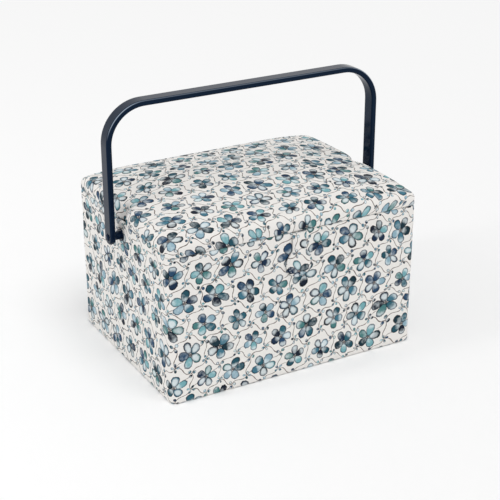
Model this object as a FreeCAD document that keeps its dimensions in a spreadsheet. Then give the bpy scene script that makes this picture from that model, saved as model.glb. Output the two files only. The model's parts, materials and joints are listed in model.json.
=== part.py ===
import FreeCAD, Part
import Sketcher
import math
import os
import re

# Fabric-covered sewing box with a padded hinged lid, a magnetic tab, a swinging carry handle and a
# lift-out tray. Millimetres, +Z up, the front faces -Y, the origin is under the middle of the box.

SIZES = {
    # box
    "box_width": 310.0,
    "box_depth": 235.0,
    "body_height": 170.0,
    "corner_radius": 8.0,
    "cloth_thickness": 1.0,
    "board_thickness": 4.0,
    "lining_thickness": 2.0,
    "base_lining_thickness": 3.0,
    "lining_drop": 2.0,
    # lid
    "lid_gap": 0.4,
    "lid_side": 8.0,
    "lid_roll": 10.0,
    "lid_edge_height": 17.6,
    "lid_crown": 12.0,
    "lid_hem_width": 8.0,
    "lid_lining_thickness": 3.0,
    "lining_fit": 0.2,
    "notch_radius": 14.0,
    "notch_depth": 5.5,
    # cloth hinge along the back
    "hinge_cloth_thickness": 0.8,
    "hinge_end_margin": 10.0,
    "hinge_lap_lid": 7.0,
    "hinge_lap_body": 22.0,
    "hinge_clearance": 0.05,
    # tab and its magnets
    "tab_neck_width": 17.0,
    "tab_disc_radius": 16.0,
    "tab_disc_drop": 36.0,
    "tab_cloth_thickness": 1.0,
    "tab_interlining_thickness": 1.0,
    "tab_seam_width": 1.5,
    "tab_clearance": 0.3,
    "magnet_radius": 7.0,
    "magnet_thickness": 1.8,
    "magnet_fit": 0.1,
    # carry handle
    "pivot_drop": 15.0,
    "handle_height": 150.5,
    "handle_gap": 9.5,
    "handle_thickness": 6.5,
    "handle_width": 16.5,
    "handle_bend_radius": 46.0,
    "handle_edge_round": 1.8,
    # handle pivots
    "boss_flange_radius": 7.0,
    "boss_flange_thickness": 1.6,
    "boss_hub_radius": 4.6,
    "boss_shank_radius": 4.0,
    "shank_fit": 0.1,
    "stud_radius": 3.0,
    "running_clearance": 0.05,
    "face_clearance": 0.3,
    "stud_head_radius": 4.5,
    "stud_head_flat_radius": 2.6,
    "stud_head_height": 1.4,
    "washer_radius": 8.0,
    "washer_thickness": 1.5,
    "washer_fit": 0.02,
    # tray
    "tray_height": 26.0,
    "tray_drop": 24.0,
    "tray_clearance": 2.0,
    "tray_rim_width": 3.0,
    "tray_rim_thickness": 1.8,
    "tray_wall": 1.8,
    "tray_floor": 1.8,
    "tray_corner_radius": 6.0,
    "cell_radius": 5.0,
    "cell_floor_round": 3.0,
    "divider_thickness": 1.6,
    "divider_drop": 3.0,
    "front_row_depth": 80.0,
    "long_cell_length": 188.0,
    "finger_notch_radius": 14.0,
    "tray_rest_thickness": 8.0,
    "seat_clearance": 0.3,
    # pocket and pincushion under the lid
    "pocket_width": 150.0,
    "pocket_depth": 110.0,
    "pocket_height": 6.5,
    "pocket_cloth": 1.2,
    "pocket_side_margin": 18.0,
    "pocket_back_margin": 40.0,
    "elastic_width": 8.0,
    "elastic_thickness": 1.2,
    "pincushion_width": 72.0,
    "pincushion_depth": 62.0,
    "pincushion_height": 14.0,
    "pincushion_draw": 3.0,
    "overrun": 2.0,
}

# Shares that shape the soft forms.
CONTOUR_RADIUS_SHARE = 0.35
CONTOUR_LIMIT_SHARE = 0.45
CROWN_STEP_SHARES = (0.2, 0.32, 0.46, 0.62, 0.8, 0.92)
ROLL_STEPS = 5
CUSHION_STEP_SHARES = ((0.0, 0.96), (0.3, 1.0), (0.62, 0.93), (0.86, 0.74), (1.0, 0.4))

doc = FreeCAD.newDocument("sewing_box")
sheet = doc.addObject("Spreadsheet::Sheet", "Sizes")
for row, (alias, value) in enumerate(SIZES.items(), 1):
    sheet.set(f"A{row}", alias)
    sheet.set(f"B{row}", str(value))
    sheet.setAlias(f"B{row}", alias)
doc.recompute()

# Levels and distances that several pieces share, worked out from the sheet.
LEVELS = {
    "half_width": "box_width / 2",
    "half_depth": "box_depth / 2",
    "board_x": "half_width - cloth_thickness",
    "board_y": "half_depth - cloth_thickness",
    "board_radius": "corner_radius - cloth_thickness",
    "inner_x": "board_x - board_thickness",
    "inner_y": "board_y - board_thickness",
    "mouth_x": "inner_x - lining_thickness",
    "mouth_y": "inner_y - lining_thickness",
    "wall_low": "cloth_thickness + board_thickness",
    "wall_high": "body_height - cloth_thickness",
    "lining_low": "wall_low + base_lining_thickness",
    "lining_high": "body_height - lining_drop",
    "lid_low": "body_height + lid_gap",
    "lid_board_low": "lid_low + cloth_thickness",
    "lid_board_high": "lid_board_low + board_thickness",
    "lid_lining_low": "lid_board_low - lid_lining_thickness",
    "hem_x": "half_width - lid_hem_width",
    "hem_y": "half_depth - lid_hem_width",
    "hinge_level": "body_height + lid_gap / 2",
    "tab_face": "half_depth + tab_clearance",
    "tab_disc_level": "body_height - tab_disc_drop",
    "pivot_height": "body_height - pivot_drop",
    "leg_inner": "half_width + handle_gap",
    "leg_outer": "leg_inner + handle_thickness",
    "grip_high": "pivot_height + handle_height",
    "bend_centre_x": "leg_outer - handle_bend_radius",
    "bend_centre_z": "grip_high - handle_bend_radius",
    "tray_high": "body_height - tray_drop",
    "tray_low": "tray_high - tray_height",
    "rim_x": "mouth_x - tray_clearance",
    "rim_y": "mouth_y - tray_clearance",
    "tray_x": "rim_x - tray_rim_width",
    "tray_y": "rim_y - tray_rim_width",
    "cell_x": "tray_x - tray_wall",
    "cell_y": "tray_y - tray_wall",
    "row_split": "front_row_depth - cell_y",
    "back_row": "row_split + divider_thickness",
    "back_cell_width": "(2 * cell_x - 2 * divider_thickness) / 3",
    "cushion_x": "back_cell_width / 2 - cell_x",
    "cushion_y": "(back_row + cell_y) / 2",
    "pocket_low": "lid_lining_low - pocket_height",
    "pocket_right": "hem_x - pocket_side_margin",
    "pocket_back": "hem_y - pocket_back_margin",
}


def expression(text):
    """The text as an expression on the sheet and on the shared levels."""
    def full_name(found):
        word = found[0]
        return f"Sizes.{word}" if word in SIZES else f"Levels.{word}" if word in LEVELS else word

    return re.sub(r"[a-z]+(?:_[a-z]+)*", full_name, text)


def bind(feature, **formulas):
    for path, text in formulas.items():
        feature.setExpression(path.replace("__", "."), expression(text))
    return feature


def place(feature, x="0", y="0", z="0"):
    return bind(feature, Placement__Base__x=x, Placement__Base__y=y, Placement__Base__z=z)


def size(name):
    return getattr(levels, name) if name in LEVELS else sheet.get(name)


levels = doc.addObject("App::FeaturePython", "Levels")
for name, formula in LEVELS.items():
    levels.addProperty("App::PropertyFloat", name)
    levels.setExpression(name, expression(formula))
doc.recompute()


def block(label, x, y, z, length, width, height):
    """A box from its low corner and its three sides."""
    feature = doc.addObject("Part::Box", label)
    bind(feature, Length=length, Width=width, Height=height)
    return place(feature, x, y, z)


def centred_block(label, half_x, half_y, low, high):
    sides = (f"2 * ({half_x})", f"2 * ({half_y})", f"({high}) - ({low})")
    return block(label, f"-({half_x})", f"-({half_y})", low, *sides)


def bar_along_x(label, low, high, y, z, radius):
    feature = doc.addObject("Part::Cylinder", label)
    feature.Placement.Rotation = FreeCAD.Rotation(FreeCAD.Vector(0, 1, 0), 90)
    bind(feature, Radius=radius, Height=f"({high}) - ({low})")
    return place(feature, low, y, z)


def disc_along_y(label, x, low, high, z, radius):
    feature = doc.addObject("Part::Cylinder", label)
    feature.Placement.Rotation = FreeCAD.Rotation(FreeCAD.Vector(1, 0, 0), -90)
    bind(feature, Radius=radius, Height=f"({high}) - ({low})")
    return place(feature, x, low, z)


def join(label, *features):
    fused = doc.addObject("Part::MultiFuse", label)
    fused.Shapes = list(features)
    fused.Refine = True
    return fused


def cut(label, base, *tools):
    for number, tool in enumerate(tools, 1):
        trimmed = doc.addObject("Part::Cut", label if number == len(tools) else f"{label}_step{number}")
        trimmed.Base = base
        trimmed.Tool = tool
        base = trimmed
    return base


def common(label, base, tool):
    shared = doc.addObject("Part::Common", label)
    shared.Base = base
    shared.Tool = tool
    return shared


def rectangle(body, label, half_x, half_y, level):
    """A rectangle sketch, centred on the Z axis, in a level plane of the body."""
    sketch = body.newObject("Sketcher::SketchObject", label)
    plane = next(f for f in body.Origin.OriginFeatures if f.Role == "XY_Plane")
    sketch.AttachmentSupport = (plane, [""])
    sketch.MapMode = "FlatFace"
    bind(sketch, AttachmentOffset__Base__z=level)
    corners = [FreeCAD.Vector(x, y, 0) for x, y in ((-1, -1), (1, -1), (1, 1), (-1, 1))]
    for side in range(4):
        sketch.addGeometry(Part.LineSegment(corners[side], corners[(side + 1) % 4]), False)
    for side in range(4):
        sketch.addConstraint(Sketcher.Constraint("Coincident", side, 2, (side + 1) % 4, 1))
        sketch.addConstraint(Sketcher.Constraint("Vertical" if side % 2 else "Horizontal", side))
    sketch.addConstraint(Sketcher.Constraint("Symmetric", 0, 1, 2, 1, -1, 1))
    across = sketch.addConstraint(Sketcher.Constraint("DistanceX", 0, 1, 0, 2, 2))
    along = sketch.addConstraint(Sketcher.Constraint("DistanceY", 1, 1, 1, 2, 2))
    sketch.setExpression(f"Constraints[{across}]", expression(f"2 * ({half_x})"))
    sketch.setExpression(f"Constraints[{along}]", expression(f"2 * ({half_y})"))
    return sketch


def plate(label, half_x, half_y, radius, low, high, floor_round=None):
    """A level plate with rounded upright corners, and a rounded floor where one is given, as a body."""
    body = doc.addObject("PartDesign::Body", label)
    pad = body.newObject("PartDesign::Pad", f"{label}_pad")
    pad.Profile = rectangle(body, f"{label}_outline", half_x, half_y, low)
    bind(pad, Length=f"({high}) - ({low})")
    doc.recompute()
    upright = [
        f"Edge{number}"
        for number, edge in enumerate(pad.Shape.Edges, 1)
        if edge.BoundBox.ZLength > max(edge.BoundBox.XLength, edge.BoundBox.YLength)
    ]
    corners = body.newObject("PartDesign::Fillet", f"{label}_corners")
    corners.Base = (pad, upright)
    bind(corners, Radius=radius)
    body.Tip = corners
    if floor_round:
        doc.recompute()
        middle = corners.Shape.BoundBox.Center.z
        under = [
            f"Edge{number}"
            for number, edge in enumerate(corners.Shape.Edges, 1)
            if edge.BoundBox.ZMax < middle
        ]
        floor = body.newObject("PartDesign::Fillet", f"{label}_floor")
        floor.Base = (corners, under)
        bind(floor, Radius=floor_round)
        body.Tip = floor
    return body


def feature_of(label, shape):
    feature = doc.addObject("Part::Feature", label)
    feature.Shape = shape
    feature.Placement = FreeCAD.Placement()
    return feature


def contour(half_x, half_y, radius, level):
    """A closed outline of four lines and four quarter arcs."""
    radius = min(radius, CONTOUR_LIMIT_SHARE * 2 * min(half_x, half_y))
    slant = radius * math.sqrt(0.5)
    edges = []
    spots = []
    for turn in range(4):
        angle = math.radians(90 * turn + 45)
        sx = math.copysign(1, math.cos(angle))
        sy = math.copysign(1, math.sin(angle))
        cx = sx * (half_x - radius)
        cy = sy * (half_y - radius)
        side = FreeCAD.Vector(cx + sx * radius, cy, level)
        end = FreeCAD.Vector(cx, cy + sy * radius, level)
        first, last = (side, end) if turn % 2 == 0 else (end, side)
        middle = FreeCAD.Vector(cx + sx * slant, cy + sy * slant, level)
        spots.append((first, middle, last))
    for turn, (first, middle, last) in enumerate(spots):
        edges.append(Part.LineSegment(spots[turn - 1][2], first).toShape())
        edges.append(Part.Arc(first, middle, last).toShape())
    return Part.Wire(edges)


def padded_form(half_x, half_y, radius, low, shoulder, roll, top):
    """A solid with upright sides to the shoulder, a rolled edge and a crowned top."""
    crown = size("lid_crown")

    def crown_level(inset):
        return top - crown * (1 - inset / half_y) ** 2

    steps = [(0.0, low)]
    for step in range(ROLL_STEPS + 1):
        angle = math.radians(90 * step / ROLL_STEPS)
        rise = (crown_level(roll) - shoulder) * math.sin(angle)
        steps.append((roll * (1 - math.cos(angle)), shoulder + rise))
    for share in CROWN_STEP_SHARES:
        steps.append((share * half_y, crown_level(share * half_y)))
    outlines = [
        contour(half_x - inset, half_y - inset, radius + CONTOUR_RADIUS_SHARE * inset, level)
        for inset, level in steps
    ]
    return Part.makeLoft(outlines, True, True)


def notched(form, margin, top):
    """The form with a hollow at both ends, beside the handle's legs."""
    radius = size("notch_radius") + margin
    centre = size("half_width") + size("notch_radius") - size("notch_depth")
    low = size("lid_low") - size("overrun")
    for side in (-centre, centre):
        hollow = Part.makeCylinder(radius, top + size("overrun") - low, FreeCAD.Vector(side, 0, low))
        form = form.cut(hollow)
    return form


def cushion_outline(half_x, half_y, draw, x, y, level):
    """Four arcs that draw in between pointed corners."""
    spots = [
        FreeCAD.Vector(x + sx * half_x, y + sy * half_y, level)
        for sx, sy in ((-1, -1), (1, -1), (1, 1), (-1, 1))
    ]
    waists = [
        FreeCAD.Vector(x, y - half_y + draw, level),
        FreeCAD.Vector(x + half_x - draw, y, level),
        FreeCAD.Vector(x, y + half_y - draw, level),
        FreeCAD.Vector(x - half_x + draw, y, level),
    ]
    arcs = [Part.Arc(spots[side], waists[side], spots[(side + 1) % 4]).toShape() for side in range(4)]
    return Part.Wire(arcs)


# Box: boards, cloth and linings.
nodes = {}


def keep(feature):
    nodes[feature.Label] = feature
    return feature


board_prism = plate("board_prism", "board_x", "board_y", "board_radius", "0", "body_height")
keep(plate("base_cover", "half_width", "half_depth", "corner_radius", "0", "cloth_thickness"))
keep(plate("base_board", "board_x", "board_y", "board_radius", "cloth_thickness", "wall_low"))
keep(centred_block("base_lining", "inner_x", "inner_y", "wall_low", "lining_low"))

magnet_seat = disc_along_y(
    "magnet_seat", "0", "-board_y - overrun", "-board_y + magnet_thickness + magnet_fit", "tab_disc_level",
    "magnet_radius + magnet_fit",
)
front_slab = block(
    "front_slab", "-board_x", "-board_y", "wall_low", "2 * board_x", "board_thickness", "wall_high - wall_low"
)
keep(cut("front_board", common("front_shaped", front_slab, board_prism), magnet_seat))
keep(disc_along_y(
    "box_magnet", "0", "-board_y", "-board_y + magnet_thickness", "tab_disc_level", "magnet_radius"
))
back_slab = block(
    "back_slab", "-board_x", "inner_y", "wall_low", "2 * board_x", "board_thickness", "wall_high - wall_low"
)
keep(common("back_board", back_slab, board_prism))

shank_hole = bar_along_x(
    "shank_hole", "-half_width - overrun", "half_width + overrun", "0", "pivot_height",
    "boss_shank_radius + shank_fit",
)
washer_hole = bar_along_x(
    "washer_hole", "-inner_x", "inner_x", "0", "pivot_height", "washer_radius + face_clearance"
)
outer_wrap = plate(
    "outer_wrap", "half_width", "half_depth", "corner_radius", "cloth_thickness", "body_height"
)
wrap_core = plate(
    "wrap_core", "board_x", "board_y", "board_radius", "cloth_thickness - overrun", "wall_high"
)
wrap_mouth = centred_block("wrap_mouth", "inner_x", "inner_y", "wall_low", "body_height + overrun")
keep(cut("side_cover", outer_wrap, wrap_core, wrap_mouth, shank_hole))

for label, y in (("front_lining", "-inner_y"), ("back_lining", "mouth_y")):
    keep(block(
        label, "-inner_x", y, "lining_low", "2 * inner_x", "lining_thickness", "lining_high - lining_low"
    ))

# The two ends of the box: board, lining, tray rest and handle pivot.
for side, sign in (("left", -1), ("right", 1)):
    def between(near, far):
        """The low and high X of a span that is measured outwards from the middle."""
        return (near, far) if sign > 0 else (f"-({far})", f"-({near})")

    def end_block(label, near, far, half_y, low, high):
        sides = (f"({far}) - ({near})", f"2 * ({half_y})", f"({high}) - ({low})")
        return block(label, between(near, far)[0], f"-({half_y})", low, *sides)

    def end_bar(label, near, far, radius):
        low, high = between(near, far)
        return bar_along_x(label, low, high, "0", "pivot_height", radius)

    slab = end_block(f"{side}_slab", "inner_x", "board_x", "inner_y", "wall_low", "wall_high")
    keep(cut(f"{side}_board", common(f"{side}_shaped", slab, board_prism), shank_hole))
    card = end_block(f"{side}_card", "mouth_x", "inner_x", "mouth_y", "lining_low", "lining_high")
    keep(cut(f"{side}_lining", card, washer_hole))
    keep(end_block(
        f"{side}_tray_rest", "(mouth_x - tray_rest_thickness)", "mouth_x", "mouth_y", "lining_low",
        "tray_low - seat_clearance",
    ))

    stud_bore = end_bar(
        f"{side}_stud_bore", "inner_x - overrun", "leg_inner + overrun", "stud_radius + running_clearance"
    )
    flange = end_bar(
        f"{side}_flange", "half_width", "half_width + boss_flange_thickness", "boss_flange_radius"
    )
    hub = end_bar(f"{side}_hub", "half_width", "leg_inner - face_clearance", "boss_hub_radius")
    shank = end_bar(f"{side}_shank", "inner_x", "half_width", "boss_shank_radius")
    keep(cut(f"{side}_pivot_boss", join(f"{side}_boss_solid", flange, hub, shank), stud_bore))

    washer_outer = "inner_x - face_clearance"
    washer_inner = "inner_x - face_clearance - washer_thickness"
    pin = end_bar(f"{side}_pin", washer_inner, "leg_outer + face_clearance", "stud_radius")
    head = doc.addObject("Part::Cone", f"{side}_head")
    head.Placement.Rotation = FreeCAD.Rotation(FreeCAD.Vector(0, 1, 0), sign * 90)
    bind(head, Radius1="stud_head_radius", Radius2="stud_head_flat_radius", Height="stud_head_height")
    place(head, f"{sign} * (leg_outer + face_clearance)", "0", "pivot_height")
    keep(join(f"{side}_pivot_stud", pin, head))
    washer = end_bar(f"{side}_washer_disc", washer_inner, washer_outer, "washer_radius")
    washer_bore = end_bar(
        f"{side}_washer_bore", f"{washer_inner} - overrun", f"{washer_outer} + overrun",
        "stud_radius + washer_fit",
    )
    keep(cut(f"{side}_stud_washer", washer, washer_bore))

# Cloth hinge, glued across the seam at the back.
keep(block(
    "hinge_cloth", "-half_width + hinge_end_margin", "half_depth + hinge_clearance",
    "hinge_level - hinge_lap_body", "box_width - 2 * hinge_end_margin", "hinge_cloth_thickness",
    "hinge_lap_body + hinge_lap_lid",
))

# Lid: board, crowned padding, cloth cover with its hem, and lining.
lid_sheet = plate("lid_sheet", "board_x", "board_y", "board_radius", "lid_board_low", "lid_board_high")
doc.recompute()
cloth = size("cloth_thickness")
shoulder = size("lid_low") + size("lid_side")
apex = size("lid_low") + size("lid_edge_height") + size("lid_crown")
outer_form = padded_form(
    size("half_width"), size("half_depth"), size("corner_radius"), size("lid_low"), shoulder,
    size("lid_roll"), apex,
)
inner_form, padding_form = (
    padded_form(
        size("board_x"), size("board_y"), size("board_radius"), size(low), shoulder, size("lid_roll") - cloth,
        apex - cloth,
    )
    for low in ("lid_board_low", "lid_board_high")
)
keep(feature_of("lid_board", notched(lid_sheet.Shape, cloth, apex)))
keep(feature_of("lid_padding", notched(padding_form, cloth, apex)))
lid_skin = feature_of("lid_skin", notched(outer_form, 0, apex).cut(notched(inner_form, cloth, apex)))
hem_mouth = centred_block("hem_mouth", "hem_x", "hem_y", "lid_low - overrun", "lid_board_low + overrun")
keep(cut("lid_cover", lid_skin, hem_mouth))
keep(centred_block(
    "lid_lining", "(hem_x - lining_fit)", "(hem_y - lining_fit)", "lid_lining_low", "lid_board_low"
))

# Gathered pocket with an elastic mouth that faces the front edge, and a pincushion beside it.
pocket_wall = block(
    "pocket_wall", "pocket_right - pocket_width", "pocket_back - pocket_depth", "pocket_low",
    "pocket_width", "pocket_depth", "pocket_height",
)
pocket_space = block(
    "pocket_space", "pocket_right - pocket_width + pocket_cloth", "pocket_back - pocket_depth - overrun",
    "pocket_low + pocket_cloth", "pocket_width - 2 * pocket_cloth", "pocket_depth - pocket_cloth + overrun",
    "pocket_height",
)
keep(cut("lid_pocket", pocket_wall, pocket_space))
keep(block(
    "pocket_elastic", "pocket_right - pocket_width", "pocket_back - pocket_depth",
    "pocket_low - elastic_thickness", "pocket_width", "elastic_width", "elastic_thickness",
))
cushion_outlines = [
    cushion_outline(
        scale * size("pincushion_width") / 2, scale * size("pincushion_depth") / 2,
        scale * size("pincushion_draw"),
        size("cushion_x"), size("cushion_y"), size("lid_lining_low") - depth * size("pincushion_height"),
    )
    for depth, scale in CUSHION_STEP_SHARES
]
keep(feature_of("pincushion", Part.makeLoft(cushion_outlines, True, True)))


# Tab: two layers of cloth over an interlining that holds a magnet.
def tab_layer(label, near, thick, seam):
    low = f"-tab_face - {near} - {thick}"
    high = f"-tab_face - {near}"
    disc = disc_along_y(f"{label}_disc", "0", low, high, "tab_disc_level", f"tab_disc_radius - {seam}")
    neck = block(
        f"{label}_neck", f"-tab_neck_width / 2 + {seam}", low, "tab_disc_level",
        f"tab_neck_width - 2 * {seam}", thick, "hinge_level - tab_disc_level",
    )
    return disc, neck


keep(join("tab_back_cloth", *tab_layer("tab_back_cloth", "0", "tab_cloth_thickness", "0")))
felt = join("felt", *tab_layer("felt", "tab_cloth_thickness", "tab_interlining_thickness", "tab_seam_width"))
felt_low = "-tab_face - tab_cloth_thickness - tab_interlining_thickness"
felt_high = "-tab_face - tab_cloth_thickness"
felt_hole = disc_along_y(
    "felt_hole", "0", f"{felt_low} - overrun", f"{felt_high} + overrun", "tab_disc_level",
    "magnet_radius + magnet_fit",
)
keep(cut("tab_interlining", felt, felt_hole))
keep(disc_along_y("tab_magnet", "0", felt_low, felt_high, "tab_disc_level", "magnet_radius"))
keep(join("tab_front_cloth", *tab_layer(
    "tab_front_cloth", "(tab_cloth_thickness + tab_interlining_thickness)", "tab_cloth_thickness", "0"
)))

# Handle: one flat bar bent into a U, with an eye at the foot of each leg.
handle_parts = [
    block("grip_bar", "-bend_centre_x", "-handle_width / 2", "grip_high - handle_thickness",
          "2 * bend_centre_x", "handle_width", "handle_thickness"),
]
eye_bores = []
for side, sign in (("left", -1), ("right", 1)):
    leg_x = "leg_inner" if sign > 0 else "-leg_outer"
    handle_parts.append(block(
        f"{side}_leg", leg_x, "-handle_width / 2", "pivot_height", "handle_thickness", "handle_width",
        "bend_centre_z - pivot_height",
    ))
    handle_parts.append(bar_along_x(
        f"{side}_eye", leg_x, f"{leg_x} + handle_thickness", "0", "pivot_height", "handle_width / 2"
    ))
    quarter = []
    bend_radii = {"outer": "handle_bend_radius", "inner": "handle_bend_radius - handle_thickness"}
    for label, radius in bend_radii.items():
        wedge = doc.addObject("Part::Cylinder", f"{side}_bend_{label}")
        wedge.Angle = 90
        turn = FreeCAD.Rotation(FreeCAD.Vector(1, 0, 0), 90)
        if sign < 0:
            turn = turn.multiply(FreeCAD.Rotation(FreeCAD.Vector(0, 0, 1), 90))
        wedge.Placement.Rotation = turn
        bind(wedge, Radius=radius, Height="handle_width")
        place(wedge, f"{sign} * bend_centre_x", "handle_width / 2", "bend_centre_z")
        quarter.append(wedge)
    handle_parts.append(cut(f"{side}_bend", *quarter))
    eye_bores.append(bar_along_x(
        f"{side}_eye_bore", f"{leg_x} - overrun", f"{leg_x} + handle_thickness + overrun", "0",
        "pivot_height", "stud_radius + running_clearance",
    ))
handle_bar = join("handle_bar", *handle_parts)
doc.recompute()
longest_across = size("handle_width") + size("face_clearance")
along_bar = [
    number
    for number, edge in enumerate(handle_bar.Shape.Edges, 1)
    if edge.Curve.TypeId != "Part::GeomLine" or edge.Length > longest_across
]
handle_soft = doc.addObject("Part::Fillet", "handle_soft")
handle_soft.Base = handle_bar
edge_round = size("handle_edge_round")
handle_soft.Edges = [(number, edge_round, edge_round) for number in along_bar]
keep(cut("handle", handle_soft, *eye_bores))

# Tray: a rimmed box with two rows of rounded cells.
tray_box = plate(
    "tray_box", "tray_x", "tray_y", "tray_corner_radius", "tray_low", "tray_high",
    "cell_floor_round + tray_floor",
)
tray_rim = plate(
    "tray_rim", "rim_x", "rim_y", "tray_corner_radius + tray_rim_width", "tray_high - tray_rim_thickness",
    "tray_high",
)


def cell(label, left, right, front, back):
    """The space of one cell of the tray, from its four sides."""
    space = plate(
        label, f"(({right}) - ({left})) / 2", f"(({back}) - ({front})) / 2", "cell_radius",
        "tray_low + tray_floor", "tray_high + overrun", "cell_floor_round",
    )
    return place(space, f"(({right}) + ({left})) / 2", f"(({back}) + ({front})) / 2")


divider_step = plate(
    "divider_step", "cell_x", "cell_y", "cell_radius", "tray_high - divider_drop", "tray_high + overrun"
)
cells = [divider_step]
for number in range(3):
    left = f"-cell_x + {number} * (back_cell_width + divider_thickness)"
    cells.append(cell(f"back_cell_{number}", left, f"{left} + back_cell_width", "back_row", "cell_y"))
cells.append(cell("long_cell", "-cell_x", "-cell_x + long_cell_length", "-cell_y", "row_split"))
short_left = "-cell_x + long_cell_length + divider_thickness"
cells.append(cell("short_cell", short_left, "cell_x", "-cell_y", "row_split"))
notch = disc_along_y(
    "finger_notch", "0", "row_split - overrun", "back_row + overrun", "tray_high - divider_drop",
    "finger_notch_radius",
)
keep(cut("tray", join("tray_solid", tray_box, tray_rim), *cells, notch))

doc.recompute()
for feature in doc.Objects:
    if "Invalid" in feature.State or "Error" in feature.State:
        raise RuntimeError(f"{feature.Label} failed: {feature.State}")
for label, feature in nodes.items():
    if feature.Shape.isNull() or not feature.Shape.isValid() or len(feature.Shape.Solids) != 1:
        raise RuntimeError(f"{label} is not one valid solid")

os.makedirs("parts", exist_ok=True)
for label, feature in nodes.items():
    feature.Shape.exportStep(os.path.join("parts", f"{label}.step"))
    print(f"{label}: {feature.Shape.Volume:.0f} mm3")
print(f"{len(nodes)} pieces written")
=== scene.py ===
import bmesh
import bpy
import json
import math
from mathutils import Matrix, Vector, noise


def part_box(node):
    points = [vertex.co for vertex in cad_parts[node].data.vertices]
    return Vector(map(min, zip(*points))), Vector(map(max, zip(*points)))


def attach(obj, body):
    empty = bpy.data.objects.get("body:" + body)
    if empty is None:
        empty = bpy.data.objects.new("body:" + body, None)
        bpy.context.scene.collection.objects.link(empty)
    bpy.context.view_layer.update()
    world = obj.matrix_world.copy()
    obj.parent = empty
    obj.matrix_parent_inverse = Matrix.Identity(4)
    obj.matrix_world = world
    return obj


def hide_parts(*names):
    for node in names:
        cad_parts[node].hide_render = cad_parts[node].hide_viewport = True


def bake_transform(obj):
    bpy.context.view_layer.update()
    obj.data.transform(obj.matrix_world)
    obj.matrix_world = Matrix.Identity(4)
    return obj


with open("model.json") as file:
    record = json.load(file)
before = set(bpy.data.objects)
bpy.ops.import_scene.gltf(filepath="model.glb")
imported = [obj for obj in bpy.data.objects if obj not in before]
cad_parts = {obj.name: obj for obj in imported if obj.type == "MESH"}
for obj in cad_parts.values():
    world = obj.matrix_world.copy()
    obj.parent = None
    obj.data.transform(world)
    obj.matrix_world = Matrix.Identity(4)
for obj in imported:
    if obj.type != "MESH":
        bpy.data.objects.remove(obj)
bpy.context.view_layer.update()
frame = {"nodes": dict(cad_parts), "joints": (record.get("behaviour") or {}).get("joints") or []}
nodes = frame["nodes"]
mm = 0.001
print("frame loaded:", len(nodes), "nodes")


# Shader tools: feed a socket, put down a node, and short forms of the ones used most

def feed(tree, socket, value):
    if isinstance(value, bpy.types.NodeSocket):
        tree.links.new(value, socket)
    else:
        socket.default_value = value


def put(tree, kind, inputs=(), **settings):
    node = tree.nodes.new("ShaderNode" + kind)
    for key, value in settings.items():
        setattr(node, key, value)
    for key, value in dict(inputs).items():
        feed(tree, node.inputs[key], value)
    return node


def calc(tree, operation, *terms):
    return put(tree, "Math", enumerate(terms), operation=operation).outputs[0]


def vec(tree, operation, *terms):
    node = put(tree, "VectorMath", enumerate(terms), operation=operation)
    return node.outputs["Value" if operation == "LENGTH" else "Vector"]


def grow(tree, vector, factor):
    return put(tree, "VectorMath", {0: vector, "Scale": factor}, operation="SCALE").outputs["Vector"]


def split(tree, vector):
    return put(tree, "SeparateXYZ", {0: vector}).outputs


def pair(tree, x, y, z=0.0):
    return put(tree, "CombineXYZ", {0: x, 1: y, 2: z}).outputs[0]


def fade(tree, value, low, high, start=0.0, end=1.0):
    terms = enumerate((value, low, high, start, end))
    return put(tree, "MapRange", terms, interpolation_type="SMOOTHSTEP").outputs[0]


def tint(tree, factor, under, over, mode="MIX"):
    return put(tree, "Mix", {0: factor, 6: under, 7: over}, data_type="RGBA", blend_type=mode).outputs[2]


def shade(code):  # a hex colour as the shader takes it
    parts = [int(code[n:n + 2], 16) / 255 for n in (0, 2, 4)]
    return (*(p / 12.92 if p <= 0.04045 else ((p + 0.055) / 1.055) ** 2.4 for p in parts), 1.0)


def newGroup(name, inputs, outputs):
    tree = bpy.data.node_groups.new(name, "ShaderNodeTree")
    for title, kind, value in inputs:
        socket = tree.interface.new_socket(title, in_out="INPUT", socket_type="NodeSocket" + kind)
        socket.default_value = value
    for title, kind in outputs:
        tree.interface.new_socket(title, in_out="OUTPUT", socket_type="NodeSocket" + kind)
    return tree, tree.nodes.new("NodeGroupInput").outputs, tree.nodes.new("NodeGroupOutput").inputs


def useGroup(tree, group, values):
    node = tree.nodes.new("ShaderNodeGroup")
    node.node_tree = group
    for key, value in values.items():
        feed(tree, node.inputs[key], value)
    return node.outputs


# Printed cotton: blossoms on a loose honeycomb, with berry sprigs and small stars in its gaps

blossom = {
    "repeat": 36 * mm,
    "slope": 0.866,           # height of a row of the honeycomb, in repeats
    "petals": 5,
    "petalReach": 0.218,      # petal sizes, in repeats
    "petalLength": 0.184,
    "petalWidth": 0.134,
    "sizeSpread": 0.22,
    "eye": 0.05,
    "berries": 3,
    "berryReach": 0.094,
    "berrySize": 0.056,
    "starPetals": 4,
    "starReach": 0.082,
    "starLength": 0.062,
    "starWidth": 0.04,
    "stemWidth": 0.014,
    "stemBow": 0.05,
    "loose": 0.1,
    "warp": 9 * mm,
    "ground": "f1eeea",
    "stem": "54443a",
    "eyeColour": "3a2f2c",
    "edgeShade": "3f4c60",
    "inks": ("101c2e", "14323e", "22505f", "284968", "43768a",
             "79afb7", "4a7f80", "182f49", "93b3c2", "2f6272"),
    "paper": "e6eff1",        # what thin ink shows
    "hollowPaper": "e4ecee",
}


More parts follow.
